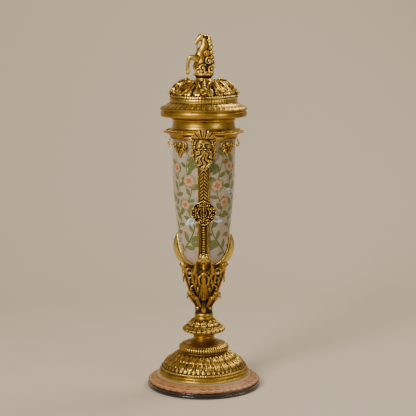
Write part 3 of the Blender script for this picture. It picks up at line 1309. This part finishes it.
def melt(name, skins, voxel, rounds=3):
    """One skin over many overlapping ones: a voxel remesh at a size in mm, then smoothing."""
    rough = bpy.data.objects.new(name, write_mesh(name + "_wax", *together(skins)))
    bpy.context.scene.collection.objects.link(rough)
    remesh = rough.modifiers.new("melt", "REMESH")
    remesh.mode, remesh.voxel_size = "VOXEL", voxel * MM
    graph = bpy.context.evaluated_depsgraph_get()
    mesh = bpy.data.meshes.new_from_object(rough.evaluated_get(graph))
    points, corners = np.zeros(len(mesh.vertices) * 3), np.zeros(len(mesh.loops), np.int32)
    mesh.vertices.foreach_get("co", points)
    mesh.loops.foreach_get("vertex_index", corners)
    points = smoothed(points.reshape(-1, 3) / MM, neighbours(mesh), rounds, 0.5)
    wax = rough.data
    bpy.data.objects.remove(rough)
    bpy.data.meshes.remove(wax)
    bpy.data.meshes.remove(mesh)
    print(name, "melted to", len(points), "points")
    return points, corners.reshape(-1, 4), np.zeros((0, 3), int)


# %% [markdown]
# ## Grapes and volutes under the collar
#
# Between the masks and the sides hang four small mounts: two volutes and a leaf above a bunch
# of grapes that runs to a point. One is modelled at the front and turned to its four places.

# %% Grape mounts
def on_cup(across, height, lift):
    """A point that stands off the beaker by a lift: across is measured round the cup."""
    radius = beaker_radius(height - beaker_low) + lift
    return [radius * math.sin(across / radius), -radius * math.cos(across / radius), height]


def make_grape_mount():
    """Two volutes with a bud in each, leaves between and beside them, and seven rows of berries."""
    parts = []
    for side in (-1, 1):
        centre, widths = on_cup(side * 9.4, grape_top - 8.2, 3.4), ((2.0, 1.5), (1.5, 1.1))
        turn = (7.0, 1.35, math.pi / 2, 0.84, (-side, 0, 0))
        parts += volute(centre, *turn, widths, (0, 1, 0), 64, (1.7, 2.6, 1.7))
        for reach_out, drop in ((13.5, 13.0), (10.5, 17.5)):
            stations = ((5, 4, 2.4), (reach_out - 3, 1, 3.2), (reach_out, -4, 1.6))
            leaf_path = [on_cup(side * across, grape_top - drop + up, lift) for across, up, lift in stations]
            parts.append(limb(leaf_path, [(1.5, 1.2), (2.2, 1.6), (0.6, 0.5)], (0, 1, 0), 20, 10))
    top_leaf = [on_cup(0, grape_top - drop, lift) for drop, lift in ((1, 2.2), (5, 4.4), (11, 4.6))]
    parts.append(limb(top_leaf, [(1.4, 4.0), (1.8, 5.0), (1.4, 1.4)], (0, 1, 0), 20, 12))
    for row, count in enumerate((6, 5, 5, 4, 3, 2, 1)):
        level = grape_top - 10.0 - 3.0 * row
        lifts = [2.7 + 0.6 * ((k + row) % 2) for k in range(count)]
        places = [on_cup(3.3 * (k - (count - 1) / 2), level, lift) for k, lift in enumerate(lifts)]
        parts += balls(places, 1.95, 10, 6)
    return melt("grape_mount", parts, 0.7, 2)


grape_mount = make_grape_mount()
for quarter, place in enumerate(("front_right", "back_right", "back_left", "front_left")):
    turned_mount = round_the_cup(grape_mount, 45 + 90 * quarter)
    gilt_piece(f"grapes_{place}", turned_mount, [f"grape_mount_{place}"], age=0.45)


# %% [markdown]
# ## Hanging scrolls at the sides
#
# At the left and right a small free scroll hangs under the collar, like the tip of a tendril.

# %% Side scrolls
def make_side_scroll():
    """A short hook that swings out, down and back in, with a bud at its end."""
    out = 57.5
    path = [(0, -1), (2.9, -5.2), (3.6, -9.6), (1.2, -13.6), (-0.6, -11.2)]
    raised = [(0, -(out + away), grape_top + up) for away, up in path]
    hook = limb(raised, [(2.6, 1.5), (2.8, 1.6), (2.4, 1.5), (1.8, 1.2), (1.3, 0.9)], (1, 0, 0), 40, 14)
    return together([hook, egg(raised[-1], (1.9, 1.4, 1.5), 10, 6)])


side_scroll = make_side_scroll()
for side, degrees in (("right", 90), ("left", -90)):
    gilt_piece(f"side_scroll_{side}_cast", round_the_cup(side_scroll, degrees), [f"side_scroll_{side}"])

# %% [markdown]
# ## The stem of winged figures
#
# Four slender draped figures lean out from a leafy trunk. Their raised wings frame their heads and take
# the weight of the calyx. Between them stand three-lobed palmettes, and a tendril rises behind
# each of those. Stations are shares of the stem's height: out from the axis, up, and across.

# %% Stem
HEADS_AND_CRESTS = 22.4
stem_height = stem_top - stem_low - HEADS_AND_CRESTS
TRUNK = 16.6


def stem_point(out, up, across=0.0):
    """A point in front of the trunk from shares of the stem's height."""
    return [across * stem_height, -out * stem_height, stem_low + up * stem_height]


stem_limb, stem_egg = modeller(stem_point, stem_height)
ROBE = np.array(
    [(0.15, 0.38, 0), (0.23, 0.54, 0), (0.31, 0.7, 0), (0.365, 0.82, 0), (0.41, 0.93, 0), (0.45, 1.04, 0)]
)
ROBE_HALVES = np.array(
    [(0.078, 0.07), (0.086, 0.072), (0.07, 0.062), (0.05, 0.05), (0.066, 0.058), (0.05, 0.045)]
)


def make_figure():
    """Robe with deep folds, shoulders, arms, and a head with its hair drawn back under a crest."""
    shoulders = [(0.44, 1.0, -0.08), (0.45, 1.035, 0), (0.44, 1.0, 0.08)]
    neck = [(0.45, 1.03), (0.475, 1.1), (0.49, 1.14)]
    parts = [
        stem_limb(ROBE, ROBE_HALVES, steps=50, sides=20),
        stem_limb(shoulders, [(0.032, 0.032), (0.048, 0.044), (0.032, 0.032)], (0, 1, 0)),
        stem_limb(neck, [(0.026, 0.026), (0.024, 0.024), (0.028, 0.028)]),
        stem_egg((0.5, 1.17), (0.044, 0.048, 0.056)), stem_egg((0.475, 1.195), (0.054, 0.05, 0.052)),
        stem_egg((0.548, 1.166), (0.009, 0.012, 0.016), 8, 6),
        stem_egg((0.485, 1.245), (0.036, 0.038, 0.03)),
    ]
    for turn in np.radians(np.arange(-84, 85, 28)):
        centre = ROBE[:4, :3] + ROBE_HALVES[:4, 1:] * [math.cos(turn), 0, 0]
        centre = centre + ROBE_HALVES[:4, :1] * [0, 0, math.sin(turn)]
        widths = np.array([(0.02, 0.024), (0.022, 0.024), (0.018, 0.02), (0.01, 0.012)])
        parts.append(stem_limb(centre, widths, steps=24, sides=8))
    for side in (-1, 1):
        stations = [
            (0.44, 1.0, 0.08 * side), (0.452, 0.92, 0.108 * side), (0.455, 0.84, 0.1 * side),
            (0.45, 0.77, 0.07 * side),
        ]
        widths = [(0.028, 0.028), (0.024, 0.024), (0.022, 0.022), (0.02, 0.018)]
        parts.append(stem_limb(stations, widths, steps=26, sides=10))
    return parts


WING_EDGE = np.array([(0.37, 0.96, 0.07), (0.38, 1.08, 0.14), (0.42, 1.19, 0.19), (0.51, 1.285, 0.16)])
FEATHERS = 10


def make_wings():
    """A strong front edge and two overlapping rows of feathers that hang from it, on both sides."""
    parts = []
    edge, bone = curve_through(WING_EDGE, 40), [(0.034, 0.03), (0.036, 0.03), (0.03, 0.026), (0.014, 0.014)]
    for side in (-1, 1):
        parts.append(stem_limb(WING_EDGE * [1, 1, side], bone, steps=40))
        for row, (length, lift) in enumerate(((0.86, 0.0), (0.48, 0.018))):
            for feather in range(FEATHERS - 2 * row):
                share = (feather + row + 0.6) / FEATHERS
                root = edge[int(share * 39)] * [1, 1, side] + [lift, 0, 0]
                fall = [-0.13 + 0.08 * share, -0.46 + 0.26 * share, (-0.04 + 0.02 * share) * side]
                drop = length * np.array(fall)
                path = [root, root + 0.5 * drop + [0.02, 0, 0.02 * side], root + drop + [0.015, 0, 0]]
                parts.append(
                    stem_limb(path, [(0.016, 0.02), (0.024, 0.016), (0.01, 0.009)], steps=18, sides=8)
                )
    return parts


def make_between():
    """A palmette whose lobes end in volutes, a bud, and a strong tendril that forks behind it."""
    parts = []
    for side in (-1, 0, 1):
        tip = 0.12 * side
        tall = 1 - 0.12 * abs(side)
        stations = [
            (0.14, 0.14, 0.02 * side), (0.21, 0.3, 0.06 * side), (0.28, 0.44 * tall, 0.09 * side),
            (0.34, 0.56 * tall, tip), (0.385, 0.55 * tall, tip * 1.1), (0.38, 0.48 * tall, tip * 1.1),
        ]
        widths = [(0.036, 0.024), (0.05, 0.03), (0.044, 0.03), (0.03, 0.024), (0.022, 0.02), (0.02, 0.018)]
        parts.append(stem_limb(stations, widths, steps=44))
        rib = [(0.17, 0.16, 0.02 * side), (0.245, 0.32, 0.06 * side), (0.315, 0.46 * tall, 0.09 * side)]
        parts.append(stem_limb(rib, [(0.01, 0.014), (0.012, 0.014), (0.006, 0.01)], steps=16, sides=8))
    parts.append(stem_egg((0.22, 0.2), (0.06, 0.03, 0.05)))
    tendril = [(0.1, 0.42), (0.24, 0.68), (0.34, 0.88), (0.37, 1.02), (0.36, 1.1)]
    widths = [(0.055, 0.05), (0.045, 0.04), (0.036, 0.034), (0.026, 0.024), (0.02, 0.02)]
    parts.append(stem_limb(tendril, widths))
    for side in (-1, 1):
        for out, up, size in ((0.25, 0.66, 0.07), (0.31, 0.85, 0.075), (0.38, 1.07, 0.07)):
            turn = (size * stem_height, 1.2, -1.2, 0.8, (0.7 * side, -0.7, 0), ((2.4, 2.2), (1.5, 1.5)))
            place = stem_point(out, up, 0.07 * side)
            parts += volute(place, *turn, (0.7, 0.7 * side, 0), 44, (2.0, 2.0, 2.0))
    return parts


def trunk_relief(azimuth, radius, height):
    """Eight upright leaves round the trunk over a plain ring."""
    return leaf_tier(azimuth, height, 8, 8, 34, 1.6, 4, 0.04)


def make_stem():
    """Trunk, figures at 0, 90, 180 and 270 degrees, palmettes and tendrils between them."""
    trunk = [
        (0, 0, 0), (TRUNK - 0.8, 0, 0), (TRUNK - 0.6, 5.6, 1.1), (TRUNK - 2.0, 7.0, 0),
        (0.86 * TRUNK, 34, -0.6), (0.5 * TRUNK, 43, 1.0), (0, 46, 0),
    ]
    parts = [turned(trunk, 120, 1.0, trunk_relief, stem_low)]
    figure, between = together(make_figure() + make_wings()), together(make_between())
    for quarter in range(4):
        parts.append(round_the_cup(figure, 90 * quarter))
        parts.append(round_the_cup(between, 90 * quarter + 45))
    return melt("stem", parts, 1.0, 2)


gilt_piece("stem_sculpted", make_stem(), ["stem_of_winged_figures"], depth=0.5, age=0.66)

# %% [markdown]
# ## Beasts and scrolls on the lid
#
# Four beasts' heads with open jaws look out from the dome, and a scroll with two curled ends lies
# between each pair. They sit on the dome's own profile, so each point is given as a distance out, a
# place across and a height above the dome.

# %% Lid sculpture
DOME_OUTLINE = np.array(
    [(15.6, 71), (24, 67.6), (38.4, 60.4), (49.6, 49.8), (53.8, 45.6), (58.2, 39.8), (80, 39.8)]
)


def on_dome(out, lift, across=0.0):
    """A point on the lid in front of the axis, a lift above the dome's outline."""
    level = lid_low + np.interp(math.hypot(out, across), DOME_OUTLINE[:, 0], DOME_OUTLINE[:, 1]) + lift
    return [across, -out, level]


beast_limb, beast_egg = modeller(on_dome)


def make_beast():
    """Neck, skull, open jaws with fangs and a tongue, brows, ears, and a mane of thick curling locks."""
    neck, upper_jaw = [(26, 0), (35, 2.6), (45, 4.6), (51, 5.0)], [
        (50, 6.6), (55, 8.0), (59, 9.4), (61.6, 9.4),
    ]
    lower_jaw, tongue = [(48, -2.6), (54, 0.4), (57.6, 2.0), (60, 2.8)], [(50, 3.2), (55, 4.6), (59, 6.0)]
    parts = [
        beast_limb(neck, [(6.4, 4.6), (8.0, 6.0), (8.2, 6.8), (6.2, 6.0)]),
        beast_egg((50, 5.4), (7.4, 7.0, 6.6)),
        beast_limb(upper_jaw, [(5.8, 3.6), (5.2, 3.2), (4.2, 2.6), (2.4, 1.8)]),
        beast_limb(lower_jaw, [(5.2, 2.6), (4.6, 2.2), (3.4, 1.6), (2.0, 1.2)]),
        beast_limb(tongue, [(3.0, 1.0), (2.4, 0.9), (1.2, 0.6)]), beast_egg((61.2, 10.2), (3.4, 2.0, 1.8)),
    ]
    for side in (-1, 1):
        parts.append(beast_egg((54.0, 11.6, 3.8 * side), (2.6, 2.4, 2.0)))
        parts.append(beast_egg((55.6, 10.0, 4.4 * side), (1.6, 1.6, 1.5)))
        parts.append(beast_egg((51.0, 2.4, 5.4 * side), (3.2, 3.8, 3.6)))
        ear = [(49, 9, 6 * side), (46, 12.4, 8.6 * side), (42.5, 12.0, 9.6 * side)]
        parts.append(beast_limb(ear, [(2.6, 1.6), (2.4, 1.4), (0.8, 0.7)], (0, 0, 1), steps=18, sides=8))
        for out, lift in ((56.0, 6.4), (59.0, 7.6)):
            fang = [(out, lift, 3.4 * side), (out + 0.3, lift - 2.6, 3.1 * side)]
            parts.append(beast_limb(fang, [(1.0, 1.0), (0.3, 0.3)], steps=8, sides=8))
        for lock in range(5):
            path = [
                (49 - 3.4 * lock, 8.4 - 1.0 * lock, (3.4 + 0.9 * lock) * side),
                (45 - 3.4 * lock, 9.6 - 1.2 * lock, (7.6 + 0.9 * lock) * side),
                (40 - 3.0 * lock, 6.0 - 0.8 * lock, (10.6 + 0.6 * lock) * side),
                (43 - 3.0 * lock, 2.6, (11.6 + 0.4 * lock) * side),
            ]
            widths = [(2.2, 1.8), (2.5, 2.0), (1.9, 1.6), (1.2, 1.1)]
            parts.append(beast_limb(path, widths, (0, 0, 1), steps=26, sides=8))
    for crest in range(5):
        path = [
            (53 - 5 * crest, 10.2 - crest), (49 - 5 * crest, 13.0 - 1.2 * crest),
            (43.5 - 5 * crest, 9.0 - crest),
        ]
        parts.append(beast_limb(path, [(2.6, 2.0), (2.8, 2.1), (1.2, 1.0)], steps=20, sides=10))
    return parts


def make_dome_scroll():
    """An arched rope whose two ends curl in over buds, a shell of lobes under it, and small side curls."""
    parts = []
    for side in (-1, 1):
        back = [
            (30, 4.6, 0.0), (31.5, 6.0, 5.0 * side), (38, 7.0, 9.4 * side), (46, 6.6, 10.4 * side),
            (51.5, 5.6, 7.6 * side), (50.5, 4.8, 3.6 * side), (46.6, 4.4, 4.4 * side),
        ]
        widths = [(2.4, 2.6), (2.5, 2.7), (2.7, 2.9), (2.5, 2.7), (2.0, 2.3), (1.6, 1.9), (1.2, 1.4)]
        parts.append(beast_limb(back, widths, (0, 0, 1), steps=56, sides=12))
        parts.append(beast_egg((48.0, 4.2, 5.4 * side), (1.9, 1.9, 2.4)))
        outer = [
            (34, 3.0, 13.5 * side), (42, 4.6, 15.0 * side), (47.5, 3.8, 16.5 * side),
            (45, 2.4, 18.5 * side),
        ]
        widths = [(1.8, 1.7), (2.2, 2.0), (1.8, 1.7), (1.1, 1.1)]
        parts.append(beast_limb(outer, widths, (0, 0, 1), steps=30, sides=10))
    for lobe in range(-2, 3):
        stations = [(38, 2.0, 0.5 * lobe), (48, 4.0, 1.9 * lobe), (56.0 - 0.9 * lobe * lobe, 3.2, 3.0 * lobe)]
        parts.append(beast_limb(stations, [(1.2, 1.0), (1.8, 1.6), (1.2, 1.0)], (0, 0, 1), steps=20, sides=8))
    return parts


def make_lid_sculpture():
    """A beast at each quarter and a scroll between each pair, melted each by itself and copied round."""
    beast = melt("beast", make_beast(), 0.9, 2)
    scroll = melt("dome_scroll", make_dome_scroll(), 0.9, 2)
    copies = [round_the_cup(beast, 90 * quarter) for quarter in range(4)]
    copies += [round_the_cup(scroll, 90 * quarter + 45) for quarter in range(4)]
    return together(copies)


gilt_piece("lid_beasts_and_scrolls", make_lid_sculpture(), depth=0.5, age=0.55)

# %% [markdown]
# ## The horse on its socle
#
# A turned socle carries a demi-horse that rears out of curling leaves and looks to the left. Its places
# are shares of its own height. The mane is a row of locks that fall to both sides of the neck.

# %% Finial
SOCLE = 12.0
horse_height = finial_top - finial_low - SOCLE


def horse_point(x, y, z):
    """A point from shares of the horse's height."""
    return [x * horse_height, y * horse_height, z * horse_height + (finial_low + SOCLE)]


horse_limb, horse_egg = modeller(horse_point, horse_height, (0, 1, 0))


def in_middle(points):
    """Points x, z on the horse's middle plane, as x, 0, z."""
    return [(x, 0, z) for x, z in points]


def horse_parts():
    """Chest and neck, head, ears, eyes, forelock, mane, forelegs and rein."""
    trunk = [(0.04, -0.04), (0.03, 0.12), (-0.04, 0.28), (-0.06, 0.42)]
    trunk += [(-0.015, 0.55), (0.035, 0.68), (0.03, 0.8), (-0.02, 0.9)]
    widths = [(0.17, 0.17), (0.18, 0.19), (0.17, 0.19), (0.13, 0.17)]
    widths += [(0.09, 0.14), (0.072, 0.12), (0.062, 0.1), (0.05, 0.07)]
    head = [(0.0, 0.935), (-0.07, 0.9), (-0.14, 0.83), (-0.195, 0.76), (-0.232, 0.715)]
    muzzle = [(0.044, 0.05), (0.058, 0.07), (0.05, 0.06), (0.038, 0.046), (0.034, 0.038)]
    raised = [(-0.06, -0.07, 0.28), (-0.19, -0.085, 0.36), (-0.32, -0.09, 0.4), (-0.36, -0.09, 0.36)]
    raised += [(-0.39, -0.09, 0.24), (-0.4, -0.09, 0.12), (-0.4, -0.09, 0.02), (-0.42, -0.09, -0.04)]
    thick = [(0.08, 0.11), (0.07, 0.085), (0.052, 0.06), (0.046, 0.05)]
    thick += [(0.042, 0.046), (0.04, 0.042), (0.044, 0.048), (0.05, 0.054)]
    bent = [(-0.08, 0.07, 0.32), (-0.18, 0.09, 0.25), (-0.23, 0.09, 0.15), (-0.19, 0.09, 0.06)]
    bent += [(-0.15, 0.09, 0.0)]
    forelock, poll = [
        (-0.03, 0.93), (-0.09, 0.955), (-0.15, 0.925),
    ], [(0.0, 0.925), (0.07, 0.94), (0.125, 0.89)]
    parts = [
        horse_limb(in_middle(trunk), widths, steps=60, sides=22),
        horse_limb(in_middle(head), muzzle, steps=40, sides=18),
        horse_egg((-0.065, 0, 0.865), (0.056, 0.062, 0.064)),
        horse_limb(in_middle([(-0.13, 0.8), (-0.165, 0.66), (-0.14, 0.5)]), [(0.016, 0.02)] * 3),
        horse_limb(raised, thick, steps=60),
        horse_limb(bent, [(0.07, 0.09), (0.055, 0.065), (0.042, 0.05), (0.034, 0.038), (0.04, 0.046)]),
        horse_limb(in_middle(forelock), [(0.034, 0.026), (0.03, 0.026), (0.014, 0.014)]),
        horse_limb(in_middle(poll), [(0.045, 0.038), (0.04, 0.038), (0.018, 0.018)]),
    ]
    for side in (-1, 1):
        ear = [(-0.04, 0.03 * side, 0.92), (-0.045, 0.044 * side, 0.955), (-0.04, 0.042 * side, 0.98)]
        parts.append(horse_limb(ear, [(0.022, 0.028), (0.02, 0.024), (0.006, 0.007)], steps=16, sides=10))
        parts.append(horse_egg((-0.1, 0.052 * side, 0.88), (0.018, 0.012, 0.015)))
        parts.append(horse_egg((-0.22, 0.03 * side, 0.737), (0.015, 0.011, 0.013)))
        parts.append(horse_egg((-0.12, 0.08 * side, 0.34), (0.1, 0.07, 0.11)))
        for lock in range(9):
            crest = 0.95 - 0.062 * lock
            base = 0.04 + 0.05 * math.sin(lock * 0.42)
            path = [
                (base, 0.012 * side, crest), (base + 0.085, 0.05 * side, crest - 0.02),
                (base + 0.105, 0.085 * side, crest - 0.09), (base + 0.07, 0.095 * side, crest - 0.14),
                (base + 0.09, 0.09 * side, crest - 0.18),
            ]
            widths = [(0.026, 0.034), (0.03, 0.038), (0.026, 0.032), (0.016, 0.018), (0.012, 0.012)]
            parts.append(horse_limb(path, widths, steps=26, sides=10))
    return parts


def curl_parts():
    """The horse ends in curling leaves: volutes at both sides, a tail of leaves, and buds between."""
    tail = [(0.14, 0, 0.62), (0.185, 0, 0.44), (0.2, 0, 0.22), (0.17, 0, -0.02)]
    parts = [horse_limb(tail, [(0.06, 0.06), (0.085, 0.07), (0.12, 0.08), (0.12, 0.08)], steps=40)]
    volutes = (
        (-0.02, 0.12, 0.1), (0.13, 0.3, 0.1), (0.2, 0.1, 0.09), (-0.12, 0.06, 0.07), (0.08, 0.48, 0.07),
    )
    for side in (-1, 1):
        for x, z, size in volutes:
            turn = (size * horse_height, 1.4, 0.6, 0.85, (1, 0, 0), ((3.0, 1.9), (2.2, 1.3)))
            parts += volute(horse_point(x, 0.17 * side, z), *turn, (0, 1, 0), 50, (1.9, 3.2, 1.9))
        for leaf_at in range(5):
            low = 0.08 + 0.12 * leaf_at
            path = [(0.14, 0.08 * side, low), (0.2, 0.12 * side, low + 0.09), (0.25, 0.08 * side, low + 0.14)]
            widths = [(0.036, 0.042), (0.042, 0.038), (0.018, 0.018)]
            parts.append(horse_limb(path, widths, steps=20, sides=10))
        for bud in range(5):
            turn = math.radians(200 + 34 * bud)
            x, y = 0.05 + 0.2 * math.cos(turn) * 0.9, 0.16 * side + 0.02 * math.sin(turn)
            parts.append(horse_egg((x, y, 0.02 + 0.02 * (bud % 2)), (0.045, 0.05, 0.05)))
    return parts


def socle_relief(azimuth, radius, height):
    """Small tongues round the flange."""
    band = window(height, 8.7, 10.8, 0.3) * (radius > 15)
    return (0.5 * ridge(across_pitch(azimuth, 36)) - 0.5) * band


def make_socle():
    """A waisted drum under a bead and a flange."""
    boss = 15.6
    steps = [
        (0, 0, 0), (boss - 0.6, 0, 0), (boss - 0.8, 1.2, 0.2), (boss - 1.6, 2.0, 0),
        (boss - 1.7, 5.0, -0.5), (boss - 0.8, 6.0, 0), (17.2, 8.0, -0.3), (17.6, 8.6, 0), (17.6, 10.8, 0.1),
        (16.4, 11.8, 0.3), (15.6, SOCLE, 0), (0, SOCLE, 0),
    ]
    return turned(steps, 216, 0.7, socle_relief, finial_low)


horse = melt("horse", horse_parts() + curl_parts(), 0.72, 2)
gilt_piece("socle_and_horse", together([make_socle(), horse]), ["finial"], age=0.3)

# %% [markdown]
# ## The stage and its light
#
# The floor is a pale plaster sweep that runs back and curves up into a wall, so it has no horizon. A
# broad soft lamp at the upper left is the window, a weak one at the right opens the shadows, and a
# third from behind draws the edges of the gilding. Light that comes off the pale room is the world's
# colour.

# %% Floor
FLOOR_BACK = 700.0
SWEEP_RADIUS = 900.0


def make_floor():
    """A strip of floor, a quarter circle and a wall, as wide as the camera will ever see."""
    turn = np.linspace(0, np.pi / 2, 24)
    back = np.concatenate([[-4000], FLOOR_BACK + SWEEP_RADIUS * np.sin(turn), [FLOOR_BACK + SWEEP_RADIUS]])
    up = np.concatenate([[0], SWEEP_RADIUS * (1 - np.cos(turn)), [4000]])
    sides = np.array([-5000.0, 5000.0])[:, None]
    points = np.stack(np.broadcast_arrays(sides, back, up), axis=-1).reshape(-1, 3)
    count = len(back)
    near = np.arange(count - 1)
    quads = np.stack([near, near + count, near + count + 1, near + 1], axis=1)
    mesh = write_mesh("floor", points, quads, np.zeros((0, 3), int))
    material, add = new_material("pale_plaster")
    shader = add("BsdfPrincipled", "BSDF", {"Base Color": "CFC2AE", "Roughness": 0.8})
    add("OutputMaterial", None, [shader])
    mesh.materials.append(material)
    floor = bpy.data.objects.new("floor", mesh)
    bpy.context.scene.collection.objects.link(floor)


make_floor()


# %% Lamps and the room
def area_light(name, place, aim, size, watts, colour):
    """A square soft light at a place in metres, turned towards a point."""
    lamp = bpy.data.lights.new(name, "AREA")
    lamp.shape, lamp.size, lamp.energy, lamp.color = "SQUARE", size, watts, linear(colour)[:3]
    light = bpy.data.objects.new(name, lamp)
    light.location = place
    dx, dy, dz = np.array(aim) - np.array(place)
    light.rotation_euler = (math.atan2(math.hypot(dx, dy), -dz), 0, math.atan2(-dx, dy))
    bpy.context.scene.collection.objects.link(light)


area_light("window", (-1.25, -1.75, 1.5), (0, 0, 0.35), 0.8, 58, "FFF8EE")
area_light("bounce", (1.7, -1.6, 0.95), (0, 0, 0.35), 0.8, 10, "FFFAF2")
area_light("edge", (0.8, 0.6, 1.5), (0, 0, 0.42), 0.7, 14, "FFF6E8")
world = bpy.data.worlds.new("pale_room")
world.use_nodes = True
background = world.node_tree.nodes["Background"]
background.inputs["Color"].default_value = linear("D8CFBF")
background.inputs["Strength"].default_value = 0.42
bpy.context.scene.world = world

# %% [markdown]
# The camera stands where the photograph was taken from: about two metres off and a little above
# the lid, looking slightly down.

# %% Camera
camera_data = bpy.data.cameras.new("camera")
camera_data.lens = 108.2
camera_data.sensor_width = 36
camera = bpy.data.objects.new("camera", camera_data)
camera.location = (0.0074, -2.1656, 0.6251)
camera.rotation_euler = (math.radians(81.896), 0, 0)
bpy.context.scene.collection.objects.link(camera)
bpy.context.scene.camera = camera
